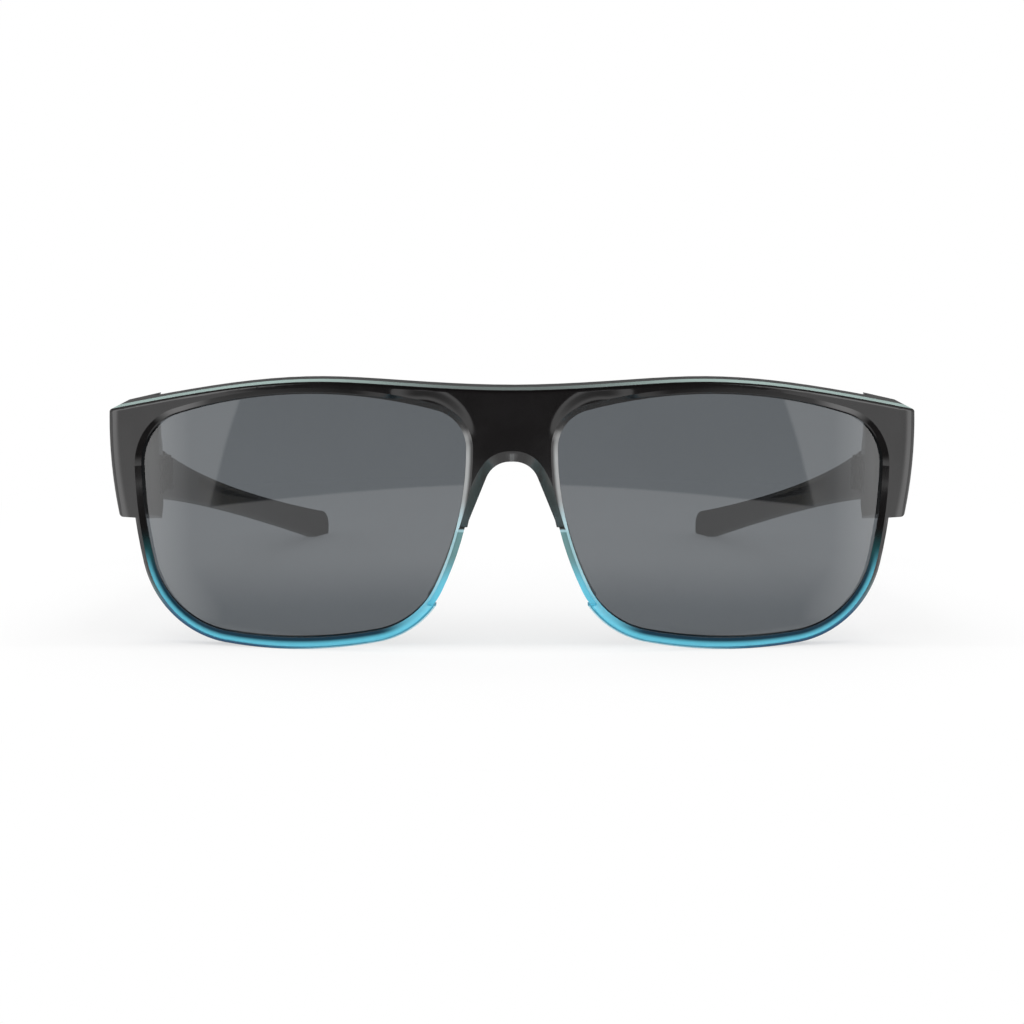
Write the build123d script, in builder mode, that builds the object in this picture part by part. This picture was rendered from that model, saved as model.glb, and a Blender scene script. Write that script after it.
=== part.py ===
"""Fitover sunglasses: a wrapped front, two lenses and two folding temples on metal hinges.

Millimetres. X runs across the face (+X is the wearer's left), the front looks along -Y,
+Z is up and the origin is the middle of the footprint on the table. The left side is drawn
and the right side is its mirror image in the YZ plane.
"""
import os

from build123d import *

os.makedirs("parts", exist_ok=True)

# Whole pair
frame_width = 150.5
brow_height = 49.75
overall_depth = 148.0
wrap_radius = 180.0
cut_overrun = 2.0

# Front: wrapped wall, brow visor and rims
wall_depth = 4.2
visor_depth = 10.5
visor_thickness = 2.2
rim_width = 1.95
brow_edge_radius = 0.6
side_edge_radius = 1.2
rim_edge_radius = 0.6
visor_edge_radius = 0.5
endpiece_width = 6.03
endpiece_base = 23.2

# Brow line: x as a share of half the width, z as a share of the brow height, ending past the corner
brow_shares = [
    (0.0, 0.976),
    (0.271, 0.991),
    (0.467, 1.0),
    (0.665, 0.973),
    (0.842, 0.923),
    (1.0, 0.868),
    (1.04, 0.853),
]

# Outer side of an endpiece in the front view: one arc, widest at a height
side_radius = 77.0
side_widest_height = 40.15

# Lens openings: four long arcs between four rounded corners, one endpiece width from the sides
opening_height = 44.9
bridge_width = 16.6
opening_top_radius = 84.0
opening_side_radius = 84.0
opening_nasal_radius = 59.5
opening_bottom_radius = 85.0
corner_shares = {
    "nasal_top": (0.0046, 0.917),
    "outer_top": (0.9945, 0.849),
    "outer_bottom": (0.908, 0.056),
    "nasal_bottom": (0.157, 0.079),
}
corner_radii = {
    "nasal_top": 7.1,
    "outer_top": 10.3,
    "outer_bottom": 16.4,
    "nasal_bottom": 15.3,
}
opening_bevel = 1.25

# Lenses and the groove that holds them
lens_thickness = 1.6
lens_setback = 1.8
groove_depth = 0.8
lens_clearance = 0.05

# Bridge and nose
arch_height = 35.3
arch_top_width = 7.0
arch_foot_width = 16.8
arch_corner_radius = 4.6
arch_bevel = 2.2
nose_rim_width = 1.5
nose_rim_setback = 0.9
nose_rim_ridge = 0.45
nose_flange_depth = 9.0
nose_flange_base = 8.85
nose_flange_reach = 15.5

# Endpiece returns, from the corners of the front back to the hinges
hinge_depth = 34.0
return_closing = 3.25
return_block_width = 5.4
return_block_length = 8.0
return_wall = 3.6
return_top_at_hinge = 33.6
return_base_at_hinge = 24.15
return_foot_drop = 2.2
return_foot_length = 4.6
return_sweep_lead = 0.8
return_sweep_rise = 2.0
butt_gap = 0.3

# Temples: both edges in the side view are long arcs, which end where the tip's short flats begin
temple_middle_share = 0.538
temple_flat_share = 0.955
temple_top_middle_share = 0.524
temple_top_flat_share = 0.181
temple_base_middle_share = 0.527
temple_bow_share = 0.49
temple_bow_closing = 7.9
temple_tip_closing = 25.2
temple_waist = 3.7
temple_tip_height = 5.0
temple_tip_top_radius = 3.4
temple_tip_heel_radius = 1.9
temple_edge_radius = 0.5
temple_facet_height = 1.8
temple_facet_width = 0.6

# Relief pocket in the inner face of each temple, which leaves a thin wall
pocket_shares = [(0.281, 0.712), (0.539, 0.491), (0.65, 0.404), (0.539, 0.47), (0.453, 0.526), (0.281, 0.636)]
pocket_depth = 2.0

# Hinges: two knuckles on the front leaf, one between them on the temple leaf, and a screw
pivot_inset = 0.3
barrel_radius = 1.5
barrel_relief = 0.3
knuckle_height = 1.9
knuckle_gap = 0.06
leaf_thickness = 0.9
leaf_length = 7.4
leaf_clearance = 0.05
temple_leaf_height = 3.4
leaf_peg_radius = 0.55
leaf_peg_length = 1.6
leaf_peg_inset = 1.3
leaf_peg_spacing = 3.0
screw_radius = 0.6
screw_thread_clearance = 0.01
screw_running_clearance = 0.03
screw_head_radius = 1.15
screw_head_height = 0.7
screw_slot_width = 0.3
screw_slot_depth = 0.35

front_y = -overall_depth / 2
half_width = frame_width / 2
opening_width = half_width - bridge_width / 2 - endpiece_width
slab_height = brow_height + 2 * cut_overrun
reach = hinge_depth + cut_overrun


def front_view(depth=0.0):
    """Plane seen from the front, set back by a depth; prisms on it run back with minus amounts."""
    return Plane.XZ.offset(-front_y - depth)


def wrap_depth(across):
    """How far the wrapped face lies behind its middle at a place across the front."""
    return wrap_radius - (wrap_radius**2 - across**2) ** 0.5


def wrap_slab(near, far):
    """Everything between two depths measured square to the wrapped face."""
    with BuildPart() as slab:
        with BuildSketch(Plane.XY.offset(-cut_overrun)):
            with Locations((0, front_y + wrap_radius)):
                Circle(wrap_radius - near)
                Circle(wrap_radius - far, mode=Mode.SUBTRACT)
        extrude(amount=slab_height)
    return slab.part


def opening_corner(name, base=0.0):
    across, up = corner_shares[name]
    return (bridge_width / 2 + across * opening_width, base + up * opening_height)


def opening_outline(base, grow=0.0):
    """Lens opening of the left side in the front view, grown all round: four large discs overlap."""
    corners = {name: opening_corner(name, base) for name in corner_shares}
    sides = [
        ("nasal_top", "outer_top", opening_top_radius),
        ("outer_top", "outer_bottom", opening_side_radius),
        ("outer_bottom", "nasal_bottom", opening_bottom_radius),
        ("nasal_bottom", "nasal_top", opening_nasal_radius),
    ]
    with BuildSketch(Plane.XY) as sketch:
        for number, (start, end, radius) in enumerate(sides):
            side = RadiusArc(corners[start], corners[end], radius, mode=Mode.PRIVATE)
            with Locations(side.arc_center):
                Circle(radius + grow, mode=Mode.INTERSECT if number else Mode.ADD)
        for name, point in corners.items():
            fillet(sketch.vertices().sort_by_distance(point)[0], corner_radii[name] + grow)
    return sketch.sketch


# The rims stand on the table, so the openings sit one rim above it
opening_base = rim_width - opening_outline(0.0).bounding_box().min.Y


def brow_outline(base):
    """Brow and bridge in the front view, down to a base and out past both endpieces."""
    brow = [(across * half_width, up * brow_height) for across, up in brow_shares]
    beyond = brow[-1][0]
    with BuildSketch(Plane.XY) as sketch:
        with BuildLine():
            Spline(*[(-x, z) for x, z in reversed(brow[1:])], *brow)
            Polyline(brow[-1], (beyond, base), (-beyond, base), (-beyond, brow[-1][1]))
        make_face()
    return sketch.sketch


def side_outline():
    """Everything inside the outer side of the left endpiece in the front view."""
    with BuildSketch(Plane.XY) as sketch:
        with Locations((half_width - side_radius, side_widest_height)):
            Circle(side_radius)
            Rectangle(frame_width, 2 * side_radius, align=(Align.MAX, Align.CENTER))
    return sketch.sketch


def arch_outline(grow=0.0):
    """Arch over the nose in the front view, grown by an offset, down to the table."""
    with BuildSketch(Plane.XY) as sketch:
        with BuildLine():
            lean = (arch_foot_width - arch_top_width) / 2 / (arch_height - endpiece_base)
            top = arch_top_width / 2
            base = top + lean * arch_height
            Polyline((-base, 0), (-top, arch_height), (top, arch_height), (base, 0), close=True)
        make_face()
        fillet(sketch.vertices().group_by(Axis.Y)[-1], arch_corner_radius)
        if grow:
            offset(amount=grow)
    return sketch.sketch


def nose_window(from_rim, base, top):
    """Strip beside the nose between two heights that lies more than a width outside the opening."""
    with BuildSketch(Plane.XY) as sketch:
        with Locations((nose_flange_reach / 2, (base + top) / 2)):
            Rectangle(nose_flange_reach, top - base)
        add(opening_outline(opening_base, from_rim), mode=Mode.SUBTRACT)
    return sketch.sketch


def nose_flange_outline():
    """Rim beside the nose in the front view, which carries the flange that rests on the nose."""
    with BuildSketch(Plane.XY) as sketch:
        add(opening_outline(opening_base, nose_rim_width))
        add(opening_outline(opening_base), mode=Mode.SUBTRACT)
        with Locations((nose_flange_reach / 2, (nose_flange_base + endpiece_base) / 2)):
            Rectangle(nose_flange_reach, endpiece_base - nose_flange_base, mode=Mode.INTERSECT)
    return sketch.sketch


def front_outline():
    """The whole front in the front view, openings and nose cut out."""
    with BuildSketch(Plane.XY) as sketch:
        add(opening_outline(opening_base, rim_width))
        add(nose_window(nose_rim_width, nose_flange_base, endpiece_base), mode=Mode.SUBTRACT)
        mirror(about=Plane.YZ)
        with BuildSketch(Plane.XY, mode=Mode.PRIVATE) as brow:
            add(brow_outline(endpiece_base))
            add(arch_outline(), mode=Mode.SUBTRACT)
        add(brow.sketch)
        with BuildSketch(Plane.XY, mode=Mode.PRIVATE) as holes:
            add(opening_outline(opening_base))
            mirror(about=Plane.YZ)
        add(holes.sketch, mode=Mode.SUBTRACT)
    return sketch.sketch


def front_prism(outline, near, far):
    """Front-view outline carried straight back from one depth to another."""
    with BuildPart() as prism:
        with BuildSketch(front_view(near)):
            add(outline)
        extrude(amount=near - far)
    return prism.part


def both_sides(part):
    """A left piece together with its mirror image on the right."""
    with BuildPart() as pair:
        add(part)
        mirror(about=Plane.YZ)
    return pair.part


def wrapped_face(part, depth):
    """The face of a part that lies at a depth square to the wrapped front."""
    radius = wrap_radius - depth
    round_faces = part.faces().filter_by(GeomType.CYLINDER)
    return round_faces.group_by(lambda f: abs(f.radius - radius))[0].sort_by(SortBy.AREA)[-1]


# Depths behind the front: its corners, the back of the wall there, the visor's ends, the returns' ends
corner_depth = wrap_depth(half_width)
wall_back_depth = corner_depth + wall_depth
visor_end_depth = corner_depth + visor_depth
butt_front = hinge_depth - butt_gap / 2
side_slope = return_closing / (hinge_depth - corner_depth)
leaf_face = half_width - return_closing - return_block_width

with BuildPart() as front_wall:
    with BuildSketch(front_view()):
        add(front_outline())
    extrude(amount=-reach)
    add(wrap_slab(0, wall_depth), mode=Mode.INTERSECT)
    for wire in wrapped_face(front_wall, 0).inner_wires():
        chamfer(wire.edges().sort_by(SortBy.LENGTH)[-1], opening_bevel)

with BuildPart() as arch_bevel_cut:
    with BuildSketch(front_view(-arch_bevel)):
        add(arch_outline(2 * arch_bevel))
    with BuildSketch(front_view(arch_bevel)):
        add(arch_outline())
    loft()
    with BuildSketch(Plane.XY.offset(endpiece_base)):
        with Locations((0, front_y)):
            Rectangle(frame_width, frame_width)
    extrude(amount=slab_height, mode=Mode.INTERSECT)


def visor_outline():
    """Upper strip of the brow in the front view, one visor thickness high."""
    under = [(across * half_width, up * brow_height - visor_thickness) for across, up in brow_shares]
    beyond = under[-1][0]
    with BuildSketch(Plane.XY) as sketch:
        add(brow_outline(endpiece_base))
        with BuildLine():
            Spline(*[(-x, z) for x, z in reversed(under[1:])], *under)
            Polyline(under[-1], (beyond, 0), (-beyond, 0), (-beyond, under[-1][1]))
        make_face(mode=Mode.SUBTRACT)
    return sketch.sketch


with BuildPart() as visor:
    add(front_prism(visor_outline(), 0, reach))
    add(wrap_slab(wall_depth / 2, visor_depth), mode=Mode.INTERSECT)


def side_view(depths_and_heights):
    """Points of a side view: depth behind the front first, height second."""
    return [(front_y + depth, height) for depth, height in depths_and_heights]


with BuildPart() as return_profile:
    with BuildSketch(Plane.YZ):
        with BuildLine():
            start, bend, end, foot, toe, heel, back = side_view(
                [
                    (visor_end_depth + return_sweep_lead, brow_height),
                    (visor_end_depth + 2 * return_sweep_lead, return_top_at_hinge + return_sweep_rise),
                    (butt_front, return_top_at_hinge),
                    (butt_front, return_base_at_hinge),
                    (butt_front - return_foot_length, endpiece_base - return_foot_drop),
                    (wall_back_depth, endpiece_base),
                    (corner_depth, endpiece_base),
                ]
            )
            Bezier(start, bend, end)
            Polyline(end, foot, toe, heel, back, (back[0], brow_height), start)
        make_face()
    extrude(amount=half_width + cut_overrun)

with BuildPart() as return_wall_left:
    with BuildSketch(Plane.XY.offset(-cut_overrun)):
        beyond = half_width + cut_overrun
        with BuildLine():
            Polyline(
                (half_width - return_wall, front_y + corner_depth),
                (leaf_face, front_y + hinge_depth - return_block_length),
                (leaf_face, front_y + butt_front),
                (beyond, front_y + butt_front),
                (beyond, front_y + corner_depth),
                close=True,
            )
        make_face()
    extrude(amount=slab_height)
    add(return_profile.part, mode=Mode.INTERSECT)
    add(wrap_slab(wall_depth / 2, reach), mode=Mode.INTERSECT)
    add(front_prism(brow_outline(0), 0, reach), mode=Mode.INTERSECT)

# The outer sides close in from the corners of the front to the hinges
with BuildPart() as side_limit_left:
    with BuildSketch(front_view()):
        with Locations((side_slope * corner_depth, 0)):
            add(side_outline())
    extrude(amount=reach, dir=(-side_slope, 1, 0))

with BuildPart() as nose_flange_left:
    add(front_prism(nose_flange_outline(), wall_depth / 2, nose_flange_depth))

with BuildPart() as nose_step_left:
    add(front_prism(nose_window(nose_rim_ridge, nose_flange_base, endpiece_base), 0, wall_depth))
    add(wrap_slab(-cut_overrun, nose_rim_setback), mode=Mode.INTERSECT)

with BuildPart() as front:
    add(front_wall.part)
    add(arch_bevel_cut.part, mode=Mode.SUBTRACT)
    add(both_sides(nose_step_left.part), mode=Mode.SUBTRACT)
    add(both_sides(nose_flange_left.part))
    add(visor.part)
    add(both_sides(return_wall_left.part))
    add(side_limit_left.part, mode=Mode.INTERSECT)
    add(side_limit_left.part.mirror(Plane.YZ), mode=Mode.INTERSECT)
    # Rounded edges: the rims and the visor's back edge, then the endpieces and the brow
    rim_foot = (bridge_width + opening_width) / 2
    for across in (-rim_foot, rim_foot):
        under_rim = (across, front_y + wrap_depth(across), 0)
        fillet(wrapped_face(front, 0).edges().sort_by_distance(under_rim)[0], rim_edge_radius)
    visor_heel = (0, front_y + visor_depth, brow_shares[0][1] * brow_height - visor_thickness)
    fillet(front.edges().sort_by_distance(visor_heel)[0], visor_edge_radius)
    side_edges = [
        edge
        for side in (front.faces().sort_by(Axis.X)[-1], front.faces().sort_by(Axis.X)[0])
        for edge in side.edges().sort_by(Axis.Y)[:2]
    ]
    fillet(side_edges, side_edge_radius)
    brow_edges = wrapped_face(front, 0).edges().filter_by(lambda e: e.length > frame_width / 2)
    fillet(brow_edges, brow_edge_radius)

# Lens grooves and lenses
with BuildPart() as groove_left:
    add(front_prism(opening_outline(opening_base, groove_depth), 0, reach))
    near = lens_setback - lens_clearance
    far = lens_setback + lens_thickness + lens_clearance
    add(wrap_slab(near, far), mode=Mode.INTERSECT)

with BuildPart() as lens_left:
    add(front_prism(opening_outline(opening_base, groove_depth - lens_clearance), 0, reach))
    add(wrap_slab(lens_setback, lens_setback + lens_thickness), mode=Mode.INTERSECT)

# Hinge places on the left side
pivot_x = leaf_face - pivot_inset
pivot_y = front_y + hinge_depth
hinge_middle = (return_top_at_hinge + return_base_at_hinge) / 2
leaf_height = 3 * knuckle_height + 2 * knuckle_gap
hinge_bottom = hinge_middle - leaf_height / 2
hinge_top = hinge_middle + leaf_height / 2
plate_start = barrel_radius + barrel_relief


def rod(radius, base, height):
    """Upright round bar on the left hinge axis."""
    with BuildPart() as bar:
        with BuildSketch(Plane((pivot_x, pivot_y, base))):
            Circle(radius)
        extrude(amount=height)
    return bar.part


def hinge_block(inner, outer, near, far, base, height):
    """Upright block beside the left hinge axis; near and far are measured back from the axis."""
    with BuildPart() as block:
        with BuildSketch(Plane((0, pivot_y, base))):
            with Locations(((inner + outer) / 2, (near + far) / 2)):
                Rectangle(outer - inner, abs(far - near))
        extrude(amount=height)
    return block.part


def leaf_pegs(way, radius, length, height):
    """Two short pegs at a height that run from a leaf plate out into the plastic."""
    middle = way * (leaf_length - leaf_peg_inset - leaf_peg_spacing / 2)
    with BuildPart() as pegs:
        with BuildSketch(Plane.YZ.offset(leaf_face + leaf_thickness)):
            with Locations((pivot_y + middle, height)):
                with GridLocations(leaf_peg_spacing, leaf_peg_spacing, 2, 1):
                    Circle(radius)
        extrude(amount=length)
    return pegs.part


def hinge_leaf(way, plate_base, plate_height, knuckles):
    """Metal leaf on one side of the axis (-1 front, +1 temple) with its knuckles and their bores."""
    outer = leaf_face + leaf_thickness
    with BuildPart() as leaf:
        add(hinge_block(leaf_face, outer, way * plate_start, way * leaf_length, plate_base, plate_height))
        add(leaf_pegs(way, leaf_peg_radius, leaf_peg_length, plate_base + plate_height / 2))
        for number, bore_clearance in knuckles:
            base = hinge_bottom + number * (knuckle_height + knuckle_gap)
            add(hinge_block(leaf_face, outer, 0, way * plate_start, base, knuckle_height))
            add(rod(barrel_radius, base, knuckle_height))
            add(rod(screw_radius + bore_clearance, base, knuckle_height), mode=Mode.SUBTRACT)
    return leaf.part


def hinge_seat(way, plate_base, plate_height):
    """Recess in the plastic for a leaf and its pegs, and the notch that the barrel turns in."""
    outer = leaf_face + leaf_thickness
    end = way * (leaf_length + leaf_clearance)
    base = plate_base - leaf_clearance
    height = plate_height + 2 * leaf_clearance
    pegs = (leaf_peg_radius + leaf_clearance, leaf_peg_length + leaf_clearance)
    with BuildPart() as seat:
        add(hinge_block(leaf_face - cut_overrun, outer, 0, end, base, height))
        add(leaf_pegs(way, *pegs, plate_base + plate_height / 2))
        add(rod(barrel_radius + barrel_relief, 0, brow_height))
    return seat.part


# The temple's plate reaches down from its knuckle's top, so that it stays inside the falling temple
temple_plate_base = hinge_bottom + 2 * knuckle_height + knuckle_gap - temple_leaf_height

with BuildPart() as front_hinge_left:
    add(hinge_leaf(-1, hinge_bottom, leaf_height, [(0, screw_thread_clearance), (2, screw_running_clearance)]))

with BuildPart() as temple_hinge_left:
    add(hinge_leaf(1, temple_plate_base, temple_leaf_height, [(1, screw_running_clearance)]))

with BuildPart() as hinge_screw_left:
    add(rod(screw_radius, hinge_bottom, leaf_height))
    add(rod(screw_head_radius, hinge_top, screw_head_height))
    with BuildSketch(Plane((pivot_x, pivot_y, hinge_top + screw_head_height))):
        Rectangle(screw_slot_width, 2 * screw_head_radius + cut_overrun)
    extrude(amount=-screw_slot_depth, mode=Mode.SUBTRACT)

with BuildPart() as frame_front:
    add(front.part)
    add(both_sides(groove_left.part), mode=Mode.SUBTRACT)
    add(both_sides(hinge_seat(-1, hinge_bottom, leaf_height)), mode=Mode.SUBTRACT)

# Left temple: an inner face that stands upright, an outer face that leans as the endpiece does
temple_length = overall_depth - hinge_depth
root = butt_gap / 2
lean = (side_widest_height - hinge_middle) / side_radius
root_outer = half_width - (side_widest_height - hinge_middle) * lean / 2 - side_slope * (hinge_depth - corner_depth)
bow_depth = temple_bow_share * temple_length
top_middle = temple_top_middle_share * return_top_at_hinge
base_middle = temple_base_middle_share * return_base_at_hinge
bow_height = (top_middle + base_middle) / 2


def temple_profile():
    """Side view of the temple: place along the depth first, height second."""
    start, tip = pivot_y + root, pivot_y + temple_length
    middle = pivot_y + temple_middle_share * temple_length
    flat = pivot_y + temple_flat_share * temple_length
    with BuildSketch(Plane.XY) as sketch:
        with BuildLine():
            top = (flat, temple_top_flat_share * return_top_at_hinge)
            ThreePointArc((start, return_top_at_hinge), (middle, top_middle), top)
            Polyline(top, (tip, temple_tip_height), (tip, 0), (flat, 0))
            ThreePointArc((flat, 0), (middle, base_middle), (start, return_base_at_hinge))
            Line((start, return_base_at_hinge), (start, return_top_at_hinge))
        make_face()
        fillet(sketch.vertices().sort_by_distance((tip, temple_tip_height))[0], temple_tip_top_radius)
        fillet(sketch.vertices().sort_by_distance((tip, 0))[0], temple_tip_heel_radius)
    return sketch.sketch


with BuildPart() as temple_inner_limit:
    with BuildSketch(Plane.XY.offset(-cut_overrun)):
        with BuildLine():
            start = (leaf_face, pivot_y)
            end = (leaf_face - temple_tip_closing, pivot_y + temple_length)
            ThreePointArc(start, (leaf_face - temple_bow_closing, pivot_y + bow_depth), end)
            Polyline(end, (frame_width, end[1]), (frame_width, start[1]), start)
        make_face()
    extrude(amount=slab_height)

with BuildPart() as pocket_cut:
    with BuildSketch(Plane.YZ):
        with BuildLine():
            corners = [(pivot_y + a * temple_length, h * return_top_at_hinge) for a, h in pocket_shares]
            Polyline(*corners, close=True)
        make_face()
    extrude(amount=frame_width)
    with Locations((pocket_depth, 0, 0)):
        add(temple_inner_limit.part, mode=Mode.SUBTRACT)

with BuildPart() as temple_left:
    with BuildSketch(Plane.XY):
        with BuildLine():
            start = (root_outer - lean * hinge_middle, pivot_y)
            bow_outer = leaf_face - temple_bow_closing + temple_waist
            tip_outer = leaf_face - temple_tip_closing + temple_waist
            bow = (bow_outer - lean * bow_height, pivot_y + bow_depth)
            end = (tip_outer - lean * temple_tip_height / 2, pivot_y + temple_length)
            ThreePointArc(start, bow, end)
            Polyline(end, (0, end[1]), (0, start[1]), start)
        make_face()
    extrude(amount=slab_height, dir=(lean, 0, 1))
    add(temple_inner_limit.part, mode=Mode.INTERSECT)
    with BuildSketch(Plane.YZ):
        add(temple_profile())
    extrude(amount=frame_width, mode=Mode.INTERSECT)
    # Facet along the inner lower edge, then the rounded edges
    long_edges = temple_left.edges().filter_by(lambda e: e.length > temple_length / 2)
    lower_inner = long_edges.sort_by(lambda e: e.center().X + e.center().Z)[0]
    beside_edge = temple_left.faces().filter_by(lambda face: lower_inner in face.edges())
    inner_face = beside_edge.sort_by(lambda face: abs(face.normal_at().Z))[0]
    chamfer(lower_inner, temple_facet_height, temple_facet_width, reference=inner_face)
    round_edges = [
        edge
        for edge in temple_left.edges()
        if edge.geom_type != GeomType.LINE and edge.center().Y > pivot_y + leaf_length
    ]
    fillet(round_edges, temple_edge_radius)
    add(hinge_seat(1, temple_plate_base, temple_leaf_height), mode=Mode.SUBTRACT)
    add(pocket_cut.part, mode=Mode.SUBTRACT)

left_pieces = {
    "lens": lens_left,
    "front_hinge": front_hinge_left,
    "temple_hinge": temple_hinge_left,
    "hinge_screw": hinge_screw_left,
    "temple": temple_left,
}
frame_front.part.label = "frame_front"
export_step(frame_front.part, "parts/frame_front.step")
for name, piece in left_pieces.items():
    piece.part.label = f"{name}_left"
    export_step(piece.part, f"parts/{name}_left.step")
    with BuildPart() as twin:
        mirror(piece.part, about=Plane.YZ)
    twin.part.label = f"{name}_right"
    export_step(twin.part, f"parts/{name}_right.step")
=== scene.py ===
import math
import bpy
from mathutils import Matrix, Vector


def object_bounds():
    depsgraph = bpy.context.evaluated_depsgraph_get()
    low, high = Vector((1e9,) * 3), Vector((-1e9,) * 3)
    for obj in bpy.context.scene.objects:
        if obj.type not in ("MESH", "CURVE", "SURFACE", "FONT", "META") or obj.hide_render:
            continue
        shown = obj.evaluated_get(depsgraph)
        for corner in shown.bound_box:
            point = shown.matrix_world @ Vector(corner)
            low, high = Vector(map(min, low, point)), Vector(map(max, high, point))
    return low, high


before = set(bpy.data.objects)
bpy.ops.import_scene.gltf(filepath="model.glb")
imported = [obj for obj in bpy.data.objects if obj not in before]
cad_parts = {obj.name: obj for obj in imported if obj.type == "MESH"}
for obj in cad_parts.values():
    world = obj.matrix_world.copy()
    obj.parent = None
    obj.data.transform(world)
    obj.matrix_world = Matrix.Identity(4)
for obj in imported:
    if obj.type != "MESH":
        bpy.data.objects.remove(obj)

from types import SimpleNamespace

import bpy
from bpy.props import FloatProperty, FloatVectorProperty, PointerProperty
from mathutils import Vector

CAD_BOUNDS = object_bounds()

bl_info = {
    "name": "Fitover Sunglasses Finish",
    "version": (1, 0, 0),
    "blender": (4, 5, 0),
    "location": "View3D > Sidebar > Sunglasses",
    "description": "Moulded plastic, tinted lenses, steel hinges and a light table for fitover sunglasses",
    "category": "Material",
}

WHITE = (1.0, 1.0, 1.0, 1.0)
NOISE_RANGE = (0.3, 0.7)  # most values of a noise lie between these
FINE_RELIEF = 0.00001  # height of the finest relief, in metres
FRONT_IOR = 1.6
LENS_IOR = 1.6
TEMPLE_IOR = 1.5

# Fineness of the noises, in features for each metre
SMOKE_CLOUDS = 45.0
FADE_CLOUDS = 90.0
POLISH_CLOUDS = 160.0
PEEL_GRAIN = 700.0
LENS_CLOUDS = 35.0
TEMPLE_CLOUDS = 60.0
TEMPLE_GRAIN = 900.0
BRUSHING_GRAIN = 1200.0
BRUSHING_DETAIL = 3.0
BRUSHING_STRETCH = (1.0, 0.08, 1.0)

# How much of the fine relief shows, and how far the polish and the colours vary
PEEL_STRENGTH = 0.25
TEMPLE_STRENGTH = 0.3
BRUSHING_STRENGTH = 0.4
FRONT_WEAR = 1.6
TEMPLE_WEAR = 1.5
HINGE_WEAR = (0.8, 1.3)
SMOKE_DARKER = 0.75
TEMPLE_LIGHTER = 1.5
STEEL_DARKER = 0.8

# The lenses: light let through at the foot and at the top, and how far it wavers
LENS_HEIGHT = (0.0, 0.05)
LENS_FADE = (1.06, 0.94)
LENS_WAVER = (0.985, 1.015)

# Where an effect on the front starts and where it is full. Spans from the middle, heights above the
# table and depths behind the wrapped face are in metres; directions of the surface go from -1 to 1.
OUTER_SPAN = (0.030, 0.058)
NASAL_SPAN = (0.026, 0.016)
SLOPE_OUTWARD = (0.0, 0.4)
BEVEL_OUTWARD = (-0.1, -0.4)
BEVEL_DEPTH = (0.0002, 0.0009)

# Turning of the surface's direction in the shading: the outer corners, the bevel beside them, the
# cove (the hollow band round the lens corner by the nose) and the underside of the brow
CORNER_START = 0.058  # span from which the flat face turns to the side
CORNER_TURN = -7.8  # turn for each metre beyond that
CORNER_FACING = (-0.80, -0.88)
SIDE_CURVE = 6.5  # bend of the front's side edge, for each metre squared of height
SIDE_INSET = (0.0007, 0.0021)
OUTER_BEVEL_OUTWARD = (-0.15, -0.35)
OUTER_BEVEL_SPAN = (0.050, 0.062)
OUTER_BEVEL_TURN = 0.25
COVE_START = (0.0072, 0.0086)
COVE_END = (0.0104, 0.0090)
COVE_HEIGHT = (0.034, 0.042)
COVE_SPAN = (0.024, 0.017)
COVE_FACING = (-0.90, -0.97)
COVE_TURN = 0.30
COVE_LEAST = 0.001
BROW_FACING = (-0.2, -0.45)
BROW_SPAN = (0.018, 0.030)
BROW_DEPTH = (0.0011, 0.0008)
BROW_TURN = 0.22

# Strip of painted highlight on the top face of the brow
BROW_HIGHLIGHT_FACING = (0.6, 0.9)
BROW_HIGHLIGHT_HEIGHT = (0.036, 0.039)
BROW_HIGHLIGHT_SOFT = 0.0004
BROW_HIGHLIGHT_SPAN = (0.005, 0.045)
BROW_HIGHLIGHT_AT_BRIDGE = 0.25

# Colours of the front, and where its painted highlights, painted reflection and painted shade go
RIM_STOPS = (0.0, 0.45, 0.9)
RIM_NASAL_SLOPE = 0.45
RIM_EDGE_HIGHLIGHT_OUTWARD = (0.35, 0.7)
RIM_EDGE_HIGHLIGHT_SIDE = (0.5, 0.0)
NASAL_SHADE = 0.25
FLANGE_REFLECTION_FACING = (-0.25, -0.5)
NOSE_BEVEL_HIGHLIGHT_HEIGHT = (0.043, 0.036)
STEP_SOFT = 0.0003
STEP_HIGHLIGHT_LINE = (0.0004, 0.0001)
NASAL_EDGE_HIGHLIGHT_HEIGHT = (0.0290, 0.0235)
NASAL_HIGHLIGHT_FOOT = (0.008, 0.014)
NASAL_HIGHLIGHT_STRENGTH = 0.6
FADE_DRIFT = 0.0012
TEAL_CLEARING = (0.03, 0.40)
RIM_CLEARING = (0.25, 0.9)
NASAL_CLEARING = 0.7
SEE_THROUGH_CLEARING = (0.3, 0.9)
SEE_THROUGH = 0.22
SEE_THROUGH_SHADED = 0.2

# Painted glow in the temples' relief pocket, standing for light through its thin wall, along the temple
POCKET_FACING = (-0.3, -0.8)
POCKET_FRONT = (-0.012, 0.0)
POCKET_BACK = (0.034, 0.016)
POCKET_CLOUDS = (0.3, 0.6)
POCKET_LEAST = 0.6

# What polished surfaces mirror. Angles are away from straight ahead of the lenses.
SHADE_ANGLES = [math.radians(angle) for angle in (38.7, 39.5)]
GLOW_ANGLES = [math.radians(angle) for angle in (39.5, 50.0)]
GLOW = 2.5
DIMMING_ANGLES = [math.radians(angle) for angle in (58.0, 72.0)]
DIMMED = 0.2
BACK_ANGLES = [math.radians(angle) for angle in (110.0, 140.0)]
BACK_DIMMED = 0.1

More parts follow.
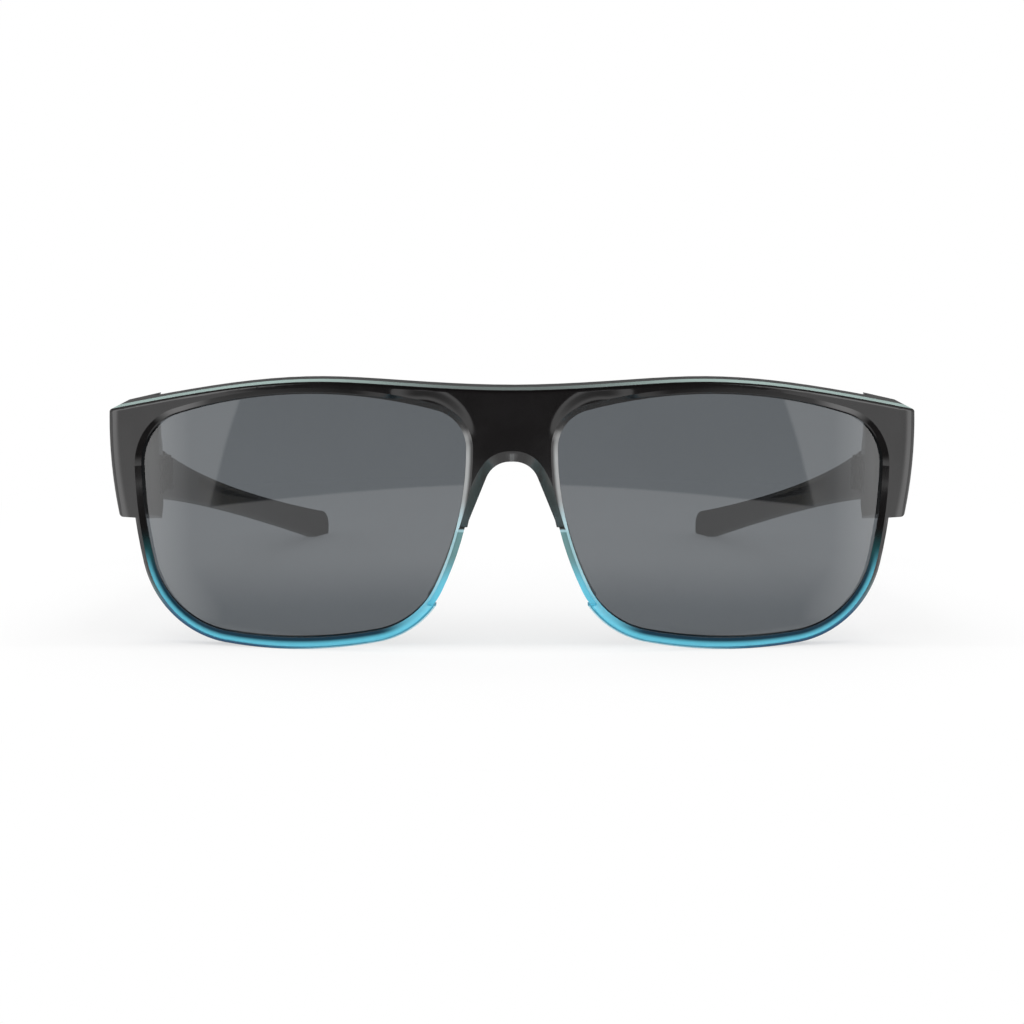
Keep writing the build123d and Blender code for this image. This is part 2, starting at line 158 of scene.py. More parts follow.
# The table
TABLE_REACH = 6.0
PALE_RADIUS = (0.09, 0.17)
PALE_UNDER = 0.55
PALE_FRONT = (-0.050, -0.072)
PALE_FRONT_LEVEL = 0.85
TABLE_OVAL = 1.28  # how much shorter the lit table is across than along
TABLE_EDGE = (0.99, 1.01)
WEDGE_GROWTH = 0.325  # angle by which the dark wedge narrows, for each metre outwards
WEDGE_START = -0.13
NEAR_FRONT = (-0.084, -0.074)
NEAR_FRONT_LEVEL = 0.65
TABLE_RADIUS_LIT = (0.105, 0.19)
TABLE_LEVEL = 1.12
TABLE_BACK = (0.0, 0.08)
TABLE_BACK_LEVEL = 0.4
TABLE_GLOW_RADIUS = (0.090, 0.115)
TABLE_LEAST = 0.1

# The surroundings
WALL_ANGLES = (1.9, 2.4)
WALL_LEVELS = (0.6, 0.12)
CEILING_HEIGHT = (0.6, 0.9)
CEILING_LEVEL = 0.05
AHEAD_LEVEL = 0.12

PANEL_AIM = (0.0, 0.0, 0.02)
TOP_PANEL_SPOT = (0.0, 0.1, 0.9)
TOP_PANEL_SIZE = (0.9, 0.7)
SIDE_PANEL_SPOT = (0.75, -0.15, 0.28)
SIDE_PANEL_SIZE = (0.2, 0.4)


def length_property(name, description, default):
    return FloatProperty(name=name, description=description, default=default, min=0.0, unit="LENGTH")


def colour_property(name, description, default):
    return FloatVectorProperty(
        name=name, description=description, default=default, size=3, min=0.0, max=1.0, subtype="COLOR"
    )


def factor_property(name, description, default):
    return FloatProperty(
        name=name, description=description, default=default, min=0.0, max=1.0, subtype="FACTOR"
    )


class FrontSettings(bpy.types.PropertyGroup):
    """Colours, fade heights and main places of the moulded front."""

    smoke: colour_property("Smoke", "Colour of the opaque upper half", (0.0060, 0.0050, 0.0053))
    teal: colour_property("Teal", "Colour where the smoke starts to clear", (0.012, 0.075, 0.082))
    # crystal: the clear blue at its lightest, used as a painted highlight along the rims' crest
    crystal: colour_property("Crystal", "Colour along the crest of the lower rims", (0.18, 0.77, 1.0))
    # pale: painted highlight colour, on the outward edge of the lower rims towards the nose and on the
    # line by the nose step
    pale: colour_property("Pale", "Colour of the thin lower edge", (0.55, 0.90, 1.0))
    mint: colour_property("Mint", "Colour of the clear plastic beside the nose", (0.13, 0.31, 0.32))
    # painted reflection: grey on the nose flanges where they face the nose
    flange_reflection: colour_property("Flange", "Colour of the nose flanges above the step", (0.042, 0.046, 0.045))
    # painted highlight: light grey on the bevel between lens and nose
    nose_bevel_highlight: colour_property("Nose bevel", "Colour between lens and nose", (0.36, 0.37, 0.37))
    # painted shade on the bevel that faces the lens
    inner: colour_property("Inner", "Colour of the bevel that faces the lens", (0.013, 0.048, 0.08))
    blue: colour_property("Blue", "Colour just beside the crest", (0.016, 0.26, 0.42))
    # painted shade: a deeper blue on the outer slope of the lower rims
    outer_slope_shade: colour_property("Deep blue", "Colour of the lower rims' outer slope", (0.008, 0.085, 0.19))
    # painted highlight: pale strip on the top face of the brow
    layer: colour_property("Pale layer", "Colour of the clear layer on the brow", (0.58, 0.79, 0.74))
    fade_top: length_property("Fade top", "Height above which the plastic is opaque", 0.0235)
    fade_bottom: length_property("Fade bottom", "Height below which the plastic is clear", 0.0075)
    outer_drop: length_property("Outer drop", "How much lower the smoke ends on the outer slope", 0.0075)
    # depths where the painted highlight strip on the brow's top starts and ends
    brow_highlight_front: length_property("Layer front", "Depth at which the pale layer starts", 0.0009)
    brow_highlight_back: length_property("Layer back", "Depth at which the pale layer ends", 0.0058)
    wrap_radius: length_property("Wrap radius", "Radius of the wrapped front face", 0.18)
    nose_step: length_property("Nose step", "Height of the step beside the nose", 0.0227)
    widest: length_property("Widest height", "Height at which the front is widest", 0.04015)
    corner_across: length_property("Corner across", "Middle of the lens corner by the nose", 0.0164)
    corner_up: length_property("Corner height", "Height of the middle of that curve", 0.0393)
    lens_across: length_property("Lens across", "Middle of a lens from the bridge", 0.03876)
    lens_up: length_property("Lens height", "Middle of a lens above the table", 0.0244)
    roughness: factor_property("Roughness", "Polish of the moulded surface", 0.09)


class LensSettings(bpy.types.PropertyGroup):
    """Tint of the two lenses."""

    tint: colour_property("Tint", "Light that the lens lets through", (0.127, 0.139, 0.150))
    roughness: factor_property("Roughness", "Polish of the lens", 0.01)


class TempleSettings(bpy.types.PropertyGroup):
    """Colours of the temples."""

    smoke: colour_property("Smoke", "Colour of the temples", (0.012, 0.0105, 0.0115))
    # painted light: warm brown glow of light through the relief pocket's thin wall
    pocket_backlight: colour_property("Amber", "Colour of the relief pocket's thin wall", (0.055, 0.042, 0.022))
    roughness: factor_property("Roughness", "Polish of the moulded surface", 0.14)


class HingeSettings(bpy.types.PropertyGroup):
    """Finish of the hinge leaves and screws."""

    steel: colour_property("Steel", "Colour of the hinge metal", (0.055, 0.055, 0.06))
    roughness: factor_property("Roughness", "Polish of the hinge metal", 0.3)


class StageSettings(bpy.types.PropertyGroup):
    """Camera, table and lights."""

    camera_distance: length_property("Camera distance", "From the camera to the bridge", 0.6)
    camera_height: length_property("Camera height", "Of the camera above the table", 0.11367)
    camera_tilt: FloatProperty(
        name="Camera tilt",
        description="How far the camera looks down",
        default=math.radians(8.28),
        subtype="ANGLE",
    )
    focal_length: FloatProperty(name="Focal length", description="In millimetres", default=117.04)
    table_radius: length_property("Lit table", "How far the lit table reaches from the middle", 0.3)
    table_white: factor_property("Table white", "Paleness of the table", 0.9)
    room_light: factor_property("Room light", "Strength of the even light from all round", 0.8)
    top_light: FloatProperty(
        name="Top light", description="Power of the overhead panel", default=2.2, unit="POWER"
    )
    side_light: FloatProperty(
        name="Side light", description="Power of each side panel", default=1.6, unit="POWER"
    )


class Graph:
    """Short hand for the nodes of one material or world."""

    def __init__(self, tree):
        self.tree = tree
        tree.nodes.clear()

    def fill(self, socket, value):
        """Sets an input to a value, or links it to another node's output."""
        if isinstance(value, bpy.types.NodeSocket):
            self.tree.links.new(value, socket)
        else:
            socket.default_value = value

    def add(self, kind, inputs=(), **settings):
        """A node with its settings and inputs."""
        made = self.tree.nodes.new(kind)
        for name, value in settings.items():
            setattr(made, name, value)
        for key, value in dict(inputs).items():
            self.fill(made.inputs[key], value)
        return made

    def maths(self, operation, first, second=0.0, third=0.0):
        made = self.add("ShaderNodeMath", {0: first, 1: second, 2: third}, operation=operation)
        return made.outputs[0]

    def product(self, first, *others):
        for other in others:
            first = self.maths("MULTIPLY", first, other)
        return first

    def length(self, first, second):
        squares = [self.product(part, part) for part in (first, second)]
        return self.maths("SQRT", self.maths("ADD", *squares))

    def remap(self, value, low, high, start=0.0, end=1.0, smooth=True):
        """A value that goes from start to end as another goes from low to high."""
        kind = "SMOOTHSTEP" if smooth else "LINEAR"
        inputs = {"Value": value, "From Min": low, "From Max": high, "To Min": start, "To Max": end}
        return self.add("ShaderNodeMapRange", inputs, interpolation_type=kind).outputs[0]

    def mix(self, factor, first, second):
        made = self.add("ShaderNodeMix", data_type="RGBA")
        for number, value in ((0, factor), (6, first), (7, second)):
            self.fill(made.inputs[number], value)
        return made.outputs[2]

    def ramp(self, factor, stops):
        """Colours along a factor."""
        made = self.add("ShaderNodeValToRGB", {"Fac": factor})
        bar = made.color_ramp
        while len(bar.elements) < len(stops):
            bar.elements.new(0.5)
        for element, (place, colour) in zip(bar.elements, stops):
            element.position = place
            element.color = rgba(colour)
        return made.outputs[0]

    def spot(self):
        """Place on the object, in metres."""
        return self.add("ShaderNodeTexCoord").outputs["Object"]

    def facing(self):
        """The three parts of the surface's direction, in the object's own axes."""
        return self.parts(self.add("ShaderNodeTexCoord").outputs["Normal"])

    def parts(self, vector):
        return self.add("ShaderNodeSeparateXYZ", {0: vector}).outputs

    def noise(self, vector, scale, detail=2.0, stretch=None):
        if stretch:
            vector = self.add("ShaderNodeMapping", {"Vector": vector, "Scale": stretch}).outputs[0]
        inputs = {"Vector": vector, "Scale": scale, "Detail": detail}
        return self.add("ShaderNodeTexNoise", inputs).outputs[0]

    def spread(self, noise, low, high):
        """A noise stretched between two values."""
        return self.remap(noise, *NOISE_RANGE, low, high)

    def bump(self, height, strength, normal=None):
        inputs = {"Height": height, "Distance": FINE_RELIEF, "Strength": strength}
        if normal:
            inputs["Normal"] = normal
        return self.add("ShaderNodeBump", inputs).outputs[0]

    def glow(self, strength):
        return self.add("ShaderNodeEmission", {"Color": WHITE, "Strength": strength}).outputs[0]

    def blend(self, factor, first, second):
        """One shader fading into another."""
        return self.add("ShaderNodeMixShader", {0: factor, 1: first, 2: second}).outputs[0]

    def surface(self, shader):
        self.add("ShaderNodeOutputMaterial", {"Surface": shader})

    def principled(self, inputs):
        self.surface(self.add("ShaderNodeBsdfPrincipled", inputs).outputs[0])


def new_material(name):
    material = bpy.data.materials.new(name)
    material.use_nodes = True
    return material, Graph(material.node_tree)


def dress(node, material):
    """Gives a CAD node its material in every slot."""
    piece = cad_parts[node]
    if not piece.material_slots:
        piece.data.materials.append(material)
    for slot in piece.material_slots:
        slot.link = "OBJECT"
        slot.material = material


def rgba(colour, share=1.0):
    """A colour, darkened or lightened by a share, with the fourth part that sockets ask for."""
    return (*(part * share for part in colour), 1.0)


class SUNGLASSES_OT_front(bpy.types.Operator):
    """Finish the moulded front: opaque smoke above that clears to crystal blue at the lower rims, with
    painted highlights, reflection and shade on rims and bevels.
    """

    bl_idname = "sunglasses.front"
    bl_label = "Front"

    def measure(self, graph, settings):
        """Where on the front a point lies, and which way its surface looks."""
        spot = graph.spot()
        across, along, up = graph.parts(spot)
        span = graph.maths("ABSOLUTE", across)
        side = graph.maths("SIGN", across)
        facing = graph.facing()
        to_side = graph.product(facing[0], side)
        from_lens = graph.maths("SUBTRACT", span, settings.lens_across)
        over_lens = graph.maths("SUBTRACT", up, settings.lens_up)
        away = graph.maths("ADD", graph.product(to_side, from_lens), graph.product(facing[2], over_lens))
        outward = graph.maths("DIVIDE", away, graph.length(from_lens, over_lens))
        behind = graph.maths("SUBTRACT", along, CAD_BOUNDS[0].y + settings.wrap_radius)
        depth = graph.maths("SUBTRACT", settings.wrap_radius, graph.length(across, behind))
        nasal = graph.remap(span, *NASAL_SPAN)
        beside = graph.product(graph.remap(outward, *BEVEL_OUTWARD), graph.remap(depth, *BEVEL_DEPTH))
        return SimpleNamespace(
            spot=spot,
            up=up,
            span=span,
            side=side,
            facing=facing,
            to_side=to_side,
            outward=outward,
            depth=depth,
            nasal=nasal,
            beside=beside,
            slope=graph.remap(outward, *SLOPE_OUTWARD),
            outer_side=graph.remap(span, *OUTER_SPAN),
            shaded=graph.product(beside, graph.remap(nasal, 0.0, 1.0, 1.0, NASAL_SHADE)),
        )

    def corner(self, graph, settings, form):
        """How far the flat face turns to the side at the outer corners, short of the side edge."""
        beyond = graph.maths("MAXIMUM", graph.maths("SUBTRACT", form.span, CORNER_START), 0.0)
        rise = graph.maths("SUBTRACT", form.up, settings.widest)
        edge = graph.maths("MULTIPLY_ADD", graph.product(rise, rise), SIDE_CURVE, form.span)
        inset = graph.maths("SUBTRACT", CAD_BOUNDS[1].x, edge)
        flat = graph.remap(form.facing[1], *CORNER_FACING)
        return graph.product(flat, beyond, CORNER_TURN, graph.remap(inset, *SIDE_INSET))

    def cove(self, graph, settings, form):
        """How far the band round the lens corner by the nose turns to the side, and downwards."""
        inward = graph.maths("MAXIMUM", graph.maths("SUBTRACT", settings.corner_across, form.span), 0.0)
        over = graph.maths("MAXIMUM", graph.maths("SUBTRACT", form.up, settings.corner_up), 0.0)
        reach = graph.maths("MAXIMUM", graph.length(inward, over), COVE_LEAST)
        band = graph.product(
            graph.remap(reach, *COVE_START),
            graph.remap(reach, *COVE_END),
            graph.remap(form.up, *COVE_HEIGHT),
            graph.remap(form.span, *COVE_SPAN),
            graph.remap(form.facing[1], *COVE_FACING),
        )
        turn = graph.maths("DIVIDE", graph.product(band, COVE_TURN), reach)
        return graph.product(turn, inward), graph.product(turn, over)

    def turned(self, graph, settings, form):
        """Surface direction, turned a little at the outer corners and on the bevels round the lens."""
        bevel = graph.product(
            graph.remap(form.outward, *OUTER_BEVEL_OUTWARD),
            graph.remap(form.span, *OUTER_BEVEL_SPAN),
            OUTER_BEVEL_TURN,
        )
        cove_side, cove_down = self.cove(graph, settings, form)
        corner = self.corner(graph, settings, form)
        aside = graph.maths("ADD", graph.maths("ADD", bevel, cove_side), corner)
        brow = graph.product(
            graph.remap(form.facing[2], *BROW_FACING),
            graph.remap(form.span, *BROW_SPAN),
            graph.remap(form.depth, *BROW_DEPTH),
            BROW_TURN,
        )
        parts = {0: graph.product(aside, form.side), 2: graph.maths("SUBTRACT", brow, cove_down)}
        offset = graph.add("ShaderNodeCombineXYZ", parts).outputs[0]
        normal = graph.add("ShaderNodeNewGeometry").outputs["Normal"]
        moved = graph.add("ShaderNodeVectorMath", {0: normal, 1: offset}, operation="ADD").outputs[0]
        return graph.add("ShaderNodeVectorMath", {0: moved}, operation="NORMALIZE").outputs[0]

    def layer(self, graph, settings, form):
        """1 on the strip of the brow's top where a pale highlight is painted, weaker towards the bridge.
        """
        front, back = settings.brow_highlight_front, settings.brow_highlight_back
        return graph.product(
            graph.remap(form.facing[2], *BROW_HIGHLIGHT_FACING),
            graph.remap(form.up, *BROW_HIGHLIGHT_HEIGHT),
            graph.remap(form.depth, front - BROW_HIGHLIGHT_SOFT, front + BROW_HIGHLIGHT_SOFT),
            graph.remap(form.depth, back + BROW_HIGHLIGHT_SOFT, back - BROW_HIGHLIGHT_SOFT),
            graph.remap(form.span, *BROW_HIGHLIGHT_SPAN, BROW_HIGHLIGHT_AT_BRIDGE, 1.0),
        )

    def rim(self, graph, settings, form):
        """Clear blue with painted light: a highlight along the crest and a pale one on the outward edge
        towards the nose, shade on the outer slope and on the bevel towards the lens.
        """
        # the blue follows the surface's direction: painted highlight on the crest, painted shade as it
        # turns outward
        share = graph.remap(form.outer_side, 0.0, 1.0, RIM_NASAL_SLOPE, 1.0)
        colours = (settings.crystal, settings.blue, settings.outer_slope_shade)
        colour = graph.ramp(graph.product(form.slope, share), list(zip(RIM_STOPS, colours)))
        # painted highlight: pale on the outward-facing edge of the rims, towards the nose
        thin = graph.product(
            graph.remap(form.outward, *RIM_EDGE_HIGHLIGHT_OUTWARD), graph.remap(form.outer_side, *RIM_EDGE_HIGHLIGHT_SIDE)
        )
        colour = graph.mix(thin, colour, rgba(settings.pale))
        # painted shade on the bevel towards the lens
        return graph.mix(form.shaded, colour, rgba(settings.inner))

    def smoke(self, graph, settings, form):
        """Opaque smoke, with a painted grey reflection on the nose flanges and a painted highlight on the
        bevels beside them.
        """
        clouds = graph.noise(form.spot, SMOKE_CLOUDS)
        colour = graph.mix(clouds, rgba(settings.smoke, SMOKE_DARKER), rgba(settings.smoke))
        # painted reflection on the nose flanges that face the nose
        flange_reflection = graph.product(form.nasal, graph.remap(form.to_side, *FLANGE_REFLECTION_FACING))
        colour = graph.mix(flange_reflection, colour, rgba(settings.flange_reflection))
        # painted highlight on the bevel between lens and nose
        bevel = graph.product(form.nasal, form.beside, graph.remap(form.up, *NOSE_BEVEL_HIGHLIGHT_HEIGHT))
        return graph.mix(bevel, colour, rgba(settings.nose_bevel_highlight))

    def nasal_highlight_line(self, graph, settings, form):
        """Painted highlight: a pale line along the step beside the nose and down the bevel below it."""
        from_step = graph.maths("ABSOLUTE", graph.maths("SUBTRACT", form.up, settings.nose_step))
        step = graph.product(form.nasal, graph.remap(from_step, *STEP_HIGHLIGHT_LINE))
        edge = graph.product(form.nasal, form.beside, graph.remap(form.up, *NASAL_EDGE_HIGHLIGHT_HEIGHT))
        line = graph.maths("MAXIMUM", step, edge)
        return graph.product(line, graph.remap(form.up, *NASAL_HIGHLIGHT_FOOT), NASAL_HIGHLIGHT_STRENGTH)

    def execute(self, context):
        settings = context.scene.sunglasses_front
        material, graph = new_material("front_smoke_to_crystal")
        form = self.measure(graph, settings)
        clouds = graph.noise(form.spot, FADE_CLOUDS)
        drift = graph.maths("MULTIPLY_ADD", clouds, FADE_DRIFT, -FADE_DRIFT / 2)
        drop = graph.product(form.outer_side, form.slope, settings.outer_drop)
        height = graph.maths("ADD", graph.maths("ADD", form.up, drift), drop)
        clear = graph.remap(height, settings.fade_top, settings.fade_bottom)
        step = settings.nose_step
        nasal_clear = graph.product(form.nasal, graph.remap(form.up, step + STEP_SOFT, step - STEP_SOFT))

        smoke = self.smoke(graph, settings, form)
        upper = graph.mix(graph.remap(clear, *TEAL_CLEARING), smoke, rgba(settings.teal))
        upper = graph.mix(nasal_clear, upper, rgba(settings.mint))
        colour = graph.mix(graph.remap(clear, *RIM_CLEARING), upper, self.rim(graph, settings, form))
        # painted highlight: the pale line by the nose
        colour = graph.mix(self.nasal_highlight_line(graph, settings, form), colour, rgba(settings.pale))
        # painted highlight: the pale strip on the brow's top
        colour = graph.mix(self.layer(graph, settings, form), colour, rgba(settings.layer))

        opened = graph.maths("MAXIMUM", clear, graph.product(nasal_clear, NASAL_CLEARING))
        see_through = graph.product(
            graph.remap(opened, *SEE_THROUGH_CLEARING, 0.0, SEE_THROUGH),
            graph.remap(form.shaded, 0.0, 1.0, 1.0, SEE_THROUGH_SHADED),
        )
        polish = graph.noise(form.spot, POLISH_CLOUDS)
        peel = graph.noise(form.spot, PEEL_GRAIN, 1.0)
        graph.principled(
            {
                "Base Color": colour,
                "Transmission Weight": see_through,
                "Roughness": graph.spread(polish, settings.roughness, settings.roughness * FRONT_WEAR),
                "IOR": FRONT_IOR,
                "Normal": graph.bump(peel, PEEL_STRENGTH, self.turned(graph, settings, form)),
            }
        )
        dress("frame_front", material)
        return {"FINISHED"}


class SUNGLASSES_OT_lenses(bpy.types.Operator):
    """Finish both lenses: a smooth neutral grey tint, a little deeper towards the upper edge."""

    bl_idname = "sunglasses.lenses"
    bl_label = "Lenses"

    def execute(self, context):
        settings = context.scene.sunglasses_lens
        material, graph = new_material("lens_grey_tint")
        spot = graph.spot()
        fade = graph.remap(graph.parts(spot)[2], *LENS_HEIGHT, *LENS_FADE, smooth=False)
        strength = graph.product(fade, graph.spread(graph.noise(spot, LENS_CLOUDS), *LENS_WAVER))
        inputs = {0: settings.tint, "Scale": strength}
        graph.principled(
            {
                "Base Color": graph.add("ShaderNodeVectorMath", inputs, operation="SCALE").outputs[0],
                "Transmission Weight": 1.0,
                "Roughness": settings.roughness,
                "IOR": LENS_IOR,
            }
        )
        for node in ("lens_left", "lens_right"):
            dress(node, material)
        return {"FINISHED"}


class SUNGLASSES_OT_temples(bpy.types.Operator):
    """Finish both temples: glossy smoke plastic, with a warm brown glow painted in the relief pocket for
    light through its thin wall.
    """

    bl_idname = "sunglasses.temples"
    bl_label = "Temples"

    def execute(self, context):
        settings = context.scene.sunglasses_temple
        material, graph = new_material("temple_smoke")
        spot = graph.spot()
        across, along, up = graph.parts(spot)
        grain = graph.noise(spot, TEMPLE_GRAIN)
        cloud = graph.noise(spot, TEMPLE_CLOUDS)
        colour = graph.mix(cloud, rgba(settings.smoke), rgba(settings.smoke, TEMPLE_LIGHTER))
        to_side = graph.product(graph.facing()[0], graph.maths("SIGN", across))
        # painted light: a warm brown glow on the pocket's inward faces, for light shining through the thin
        # wall
        pocket = graph.product(
            graph.remap(to_side, *POCKET_FACING),
            graph.remap(along, *POCKET_FRONT),
            graph.remap(along, *POCKET_BACK),
            graph.remap(cloud, *POCKET_CLOUDS, POCKET_LEAST, 1.0),
        )
        graph.principled(
            {
                "Base Color": graph.mix(pocket, colour, rgba(settings.pocket_backlight)),
                "Roughness": graph.spread(cloud, settings.roughness, settings.roughness * TEMPLE_WEAR),
                "IOR": TEMPLE_IOR,
                "Normal": graph.bump(grain, TEMPLE_STRENGTH),
            }
        )
        for node in ("temple_left", "temple_right"):
            dress(node, material)
        return {"FINISHED"}


class SUNGLASSES_OT_hinges(bpy.types.Operator):
    """Finish the hinge leaves and screws in dark brushed steel."""

    bl_idname = "sunglasses.hinges"
    bl_label = "Hinges"

    def execute(self, context):
        settings = context.scene.sunglasses_hinge
        material, graph = new_material("hinge_steel")
        brushing = graph.noise(graph.spot(), BRUSHING_GRAIN, BRUSHING_DETAIL, stretch=BRUSHING_STRETCH)
        colour = graph.mix(brushing, rgba(settings.steel, STEEL_DARKER), rgba(settings.steel))
        least, most = (settings.roughness * share for share in HINGE_WEAR)
        graph.principled(
            {
                "Base Color": colour,
                "Metallic": 1.0,
                "Roughness": graph.spread(brushing, least, most),
                "Normal": graph.bump(brushing, BRUSHING_STRENGTH),
            }
        )
        for part in ("front_hinge", "temple_hinge", "hinge_screw"):
            for side in ("left", "right"):
                dress(f"{part}_{side}", material)
        return {"FINISHED"}


def kinds_of_ray(graph):
    """Two factors: 1 for mirrored rays, and 1 for what the camera sees, also through the plastic."""
    path = graph.add("ShaderNodeLightPath").outputs
    passed = path["Is Transmission Ray"]
    mirrored = graph.product(path["Is Glossy Ray"], graph.maths("SUBTRACT", 1.0, passed))
    return mirrored, graph.maths("MAXIMUM", path["Is Camera Ray"], passed)


def heading(graph, across, along):
    """Angle away from straight ahead of the lenses: 0 in front, pi behind."""
    return graph.maths("ARCTAN2", graph.maths("ABSOLUTE", across), graph.product(along, -1.0))


def front_shade(graph, angle):
    """1 in the wedge ahead of the lenses where the room is dark, 0 at the lit sides."""
    return graph.remap(angle, *SHADE_ANGLES, 1.0, 0.0)


def side_glow(graph, angle):
    """Brightness that polished surfaces mirror: it grows towards the sides and falls off behind."""
    return graph.product(
        graph.remap(angle, *GLOW_ANGLES, 0.0, GLOW, smooth=False),
        graph.remap(angle, *DIMMING_ANGLES, 1.0, DIMMED),
        graph.remap(angle, *BACK_ANGLES, 1.0, BACK_DIMMED),
    )


class SUNGLASSES_OT_stage(bpy.types.Operator):
    """Make the pale table, the soft lights, the white surroundings and the camera."""

    bl_idname = "sunglasses.stage"
    bl_label = "Stage"

    def mirrored_table(self, graph, settings, across, along, radius):
        """Brightness of the table for polished surfaces: a lit oval, dark ahead of it and underneath."""
        oval = graph.length(graph.product(across, TABLE_OVAL), along)
        beyond = graph.remap(oval, *(settings.table_radius * share for share in TABLE_EDGE))
        angle = heading(graph, across, along)
        narrowing = graph.maths("MULTIPLY_ADD", radius, WEDGE_GROWTH, WEDGE_START)
        wedge = front_shade(graph, graph.maths("ADD", angle, narrowing))
        lit = graph.maths("SUBTRACT", 1.0, graph.product(beyond, wedge))
        near = graph.product(graph.remap(along, *NEAR_FRONT), NEAR_FRONT_LEVEL)
        level = graph.maths("MAXIMUM", graph.remap(radius, *TABLE_RADIUS_LIT, 0.0, TABLE_LEVEL), near)
        level = graph.product(level, graph.remap(along, *TABLE_BACK, 1.0, TABLE_BACK_LEVEL), lit)
        sides = graph.product(side_glow(graph, angle), graph.remap(radius, *TABLE_GLOW_RADIUS))
        return graph.maths("MAXIMUM", graph.maths("MAXIMUM", level, sides), TABLE_LEAST)

    def table(self, settings):
        material, graph = new_material("table_white")
        across, along, up = graph.parts(graph.spot())
        reflected, seen = kinds_of_ray(graph)
        radius = graph.length(across, along)
        white = rgba((settings.table_white,) * 3)
        plain = graph.add("ShaderNodeBsdfDiffuse", {"Color": white}).outputs[0]
        pale = graph.maths(
            "MAXIMUM",
            graph.remap(radius, *PALE_RADIUS, PALE_UNDER, 1.0),
            graph.remap(along, *PALE_FRONT, 0.0, PALE_FRONT_LEVEL),
        )
        backdrop = graph.blend(graph.product(seen, pale), plain, graph.glow(1.0))
        mirror = graph.glow(self.mirrored_table(graph, settings, across, along, radius))
        graph.surface(graph.blend(reflected, backdrop, mirror))

        mesh = bpy.data.meshes.new("table")
        sides = [(-1, -1), (1, -1), (1, 1), (-1, 1)]
        corners = [(x * TABLE_REACH, y * TABLE_REACH, 0.0) for x, y in sides]
        mesh.from_pydata(corners, [], [(0, 1, 2, 3)])
        mesh.materials.append(material)
        table = bpy.data.objects.new("table", mesh)
        bpy.context.scene.collection.objects.link(table)

    def surroundings(self, context, settings):
        world = bpy.data.worlds.new("studio")
        context.scene.world = world
        world.use_nodes = True
        graph = Graph(world.node_tree)
        across, along, up = graph.parts(graph.add("ShaderNodeTexCoord").outputs["Generated"])
        reflected, seen = kinds_of_ray(graph)
        angle = heading(graph, across, along)
        walls = graph.remap(angle, *WALL_ANGLES, *WALL_LEVELS)
        level = graph.product(
            graph.maths("MAXIMUM", side_glow(graph, angle), walls),
            graph.remap(up, *CEILING_HEIGHT, 1.0, CEILING_LEVEL),
            graph.maths("SUBTRACT", 1.0 + AHEAD_LEVEL, front_shade(graph, angle)),
        )
        mirrored = graph.add("ShaderNodeCombineXYZ", {0: level, 1: level, 2: level}).outputs[0]
        colour = graph.mix(reflected, rgba((settings.room_light,) * 3), mirrored)
        colour = graph.mix(seen, colour, WHITE)
        background = graph.add("ShaderNodeBackground", {"Color": colour, "Strength": 1.0})
        graph.add("ShaderNodeOutputWorld", {"Surface": background.outputs[0]})

    def panel(self, name, spot, size, power):
        """A soft rectangular light, left out of what polished surfaces mirror."""
        light = bpy.data.lights.new(name, "AREA")
        light.shape = "RECTANGLE"
        light.size, light.size_y = size
        light.energy = power
        holder = bpy.data.objects.new(name, light)
        holder.location = spot
        holder.rotation_mode = "QUATERNION"
        holder.rotation_quaternion = (Vector(PANEL_AIM) - Vector(spot)).to_track_quat("-Z", "Y")
        holder.visible_glossy = False
        bpy.context.scene.collection.objects.link(holder)

    def camera(self, context, settings):
        front = CAD_BOUNDS[0].y
        data = bpy.data.cameras.new("front_view")
        data.lens = settings.focal_length
        data.dof.use_dof = False
        holder = bpy.data.objects.new("front_view", data)
        holder.location = (0.0, front - settings.camera_distance, settings.camera_height)
        holder.rotation_euler = (math.pi / 2 - settings.camera_tilt, 0.0, 0.0)
        context.scene.collection.objects.link(holder)
        context.scene.camera = holder

    def execute(self, context):
        settings = context.scene.sunglasses_stage
        self.table(settings)
        self.surroundings(context, settings)
        self.panel("top_panel", TOP_PANEL_SPOT, TOP_PANEL_SIZE, settings.top_light)
        across, along, up = SIDE_PANEL_SPOT
        for name, spot in (("left", (across, along, up)), ("right", (-across, along, up))):
            self.panel(f"side_panel_{name}", spot, SIDE_PANEL_SIZE, settings.side_light)
        self.camera(context, settings)
        context.scene.view_settings.view_transform = "Standard"
        return {"FINISHED"}


OPERATORS = (
    SUNGLASSES_OT_stage,
    SUNGLASSES_OT_front,
    SUNGLASSES_OT_lenses,
    SUNGLASSES_OT_temples,
    SUNGLASSES_OT_hinges,
)

SETTINGS = {
    "sunglasses_front": FrontSettings,
    "sunglasses_lens": LensSettings,
    "sunglasses_temple": TempleSettings,
    "sunglasses_hinge": HingeSettings,
    "sunglasses_stage": StageSettings,
}


class VIEW3D_PT_sunglasses(bpy.types.Panel):
    """Lists the pieces of the sunglasses and their settings."""

    bl_label = "Fitover Sunglasses"
    bl_space_type = "VIEW_3D"
    bl_region_type = "UI"
    bl_category = "Sunglasses"

    def draw(self, context):
        for operator in OPERATORS:
            self.layout.operator(operator.bl_idname)
        for name in SETTINGS:
            group = getattr(context.scene, name)
            box = self.layout.box()
            for key in group.__annotations__:
                box.prop(group, key)


CLASSES = (*SETTINGS.values(), *OPERATORS, VIEW3D_PT_sunglasses)


def register():
    for made in CLASSES:
        bpy.utils.register_class(made)
    for name, group in SETTINGS.items():
        setattr(bpy.types.Scene, name, PointerProperty(type=group))


def unregister():
    for name in SETTINGS:
        delattr(bpy.types.Scene, name)
    for made in reversed(CLASSES):
        bpy.utils.unregister_class(made)


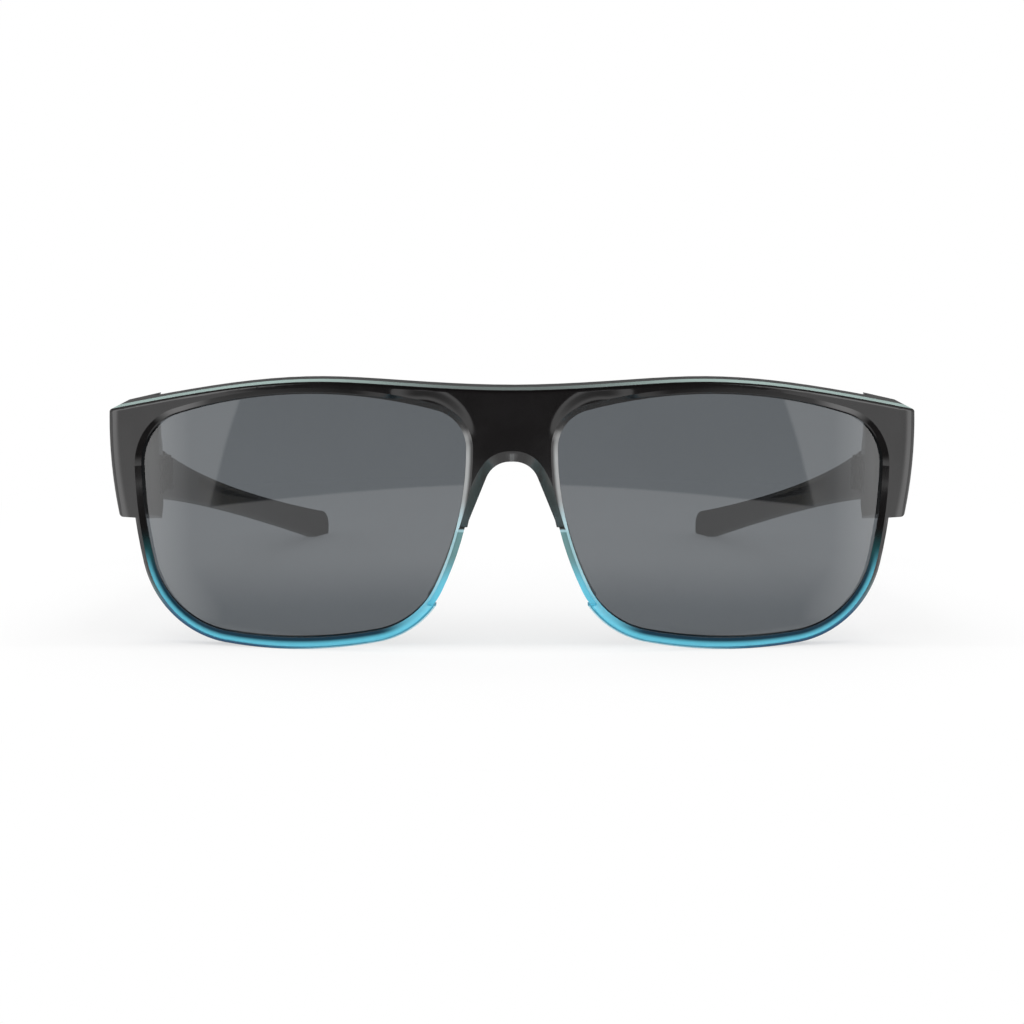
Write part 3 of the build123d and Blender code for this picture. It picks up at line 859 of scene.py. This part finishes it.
def main():
    register()
    bpy.ops.sunglasses.stage()
    bpy.ops.sunglasses.front()
    bpy.ops.sunglasses.lenses()
    bpy.ops.sunglasses.temples()
    bpy.ops.sunglasses.hinges()


if __name__ == "__main__":
    main()
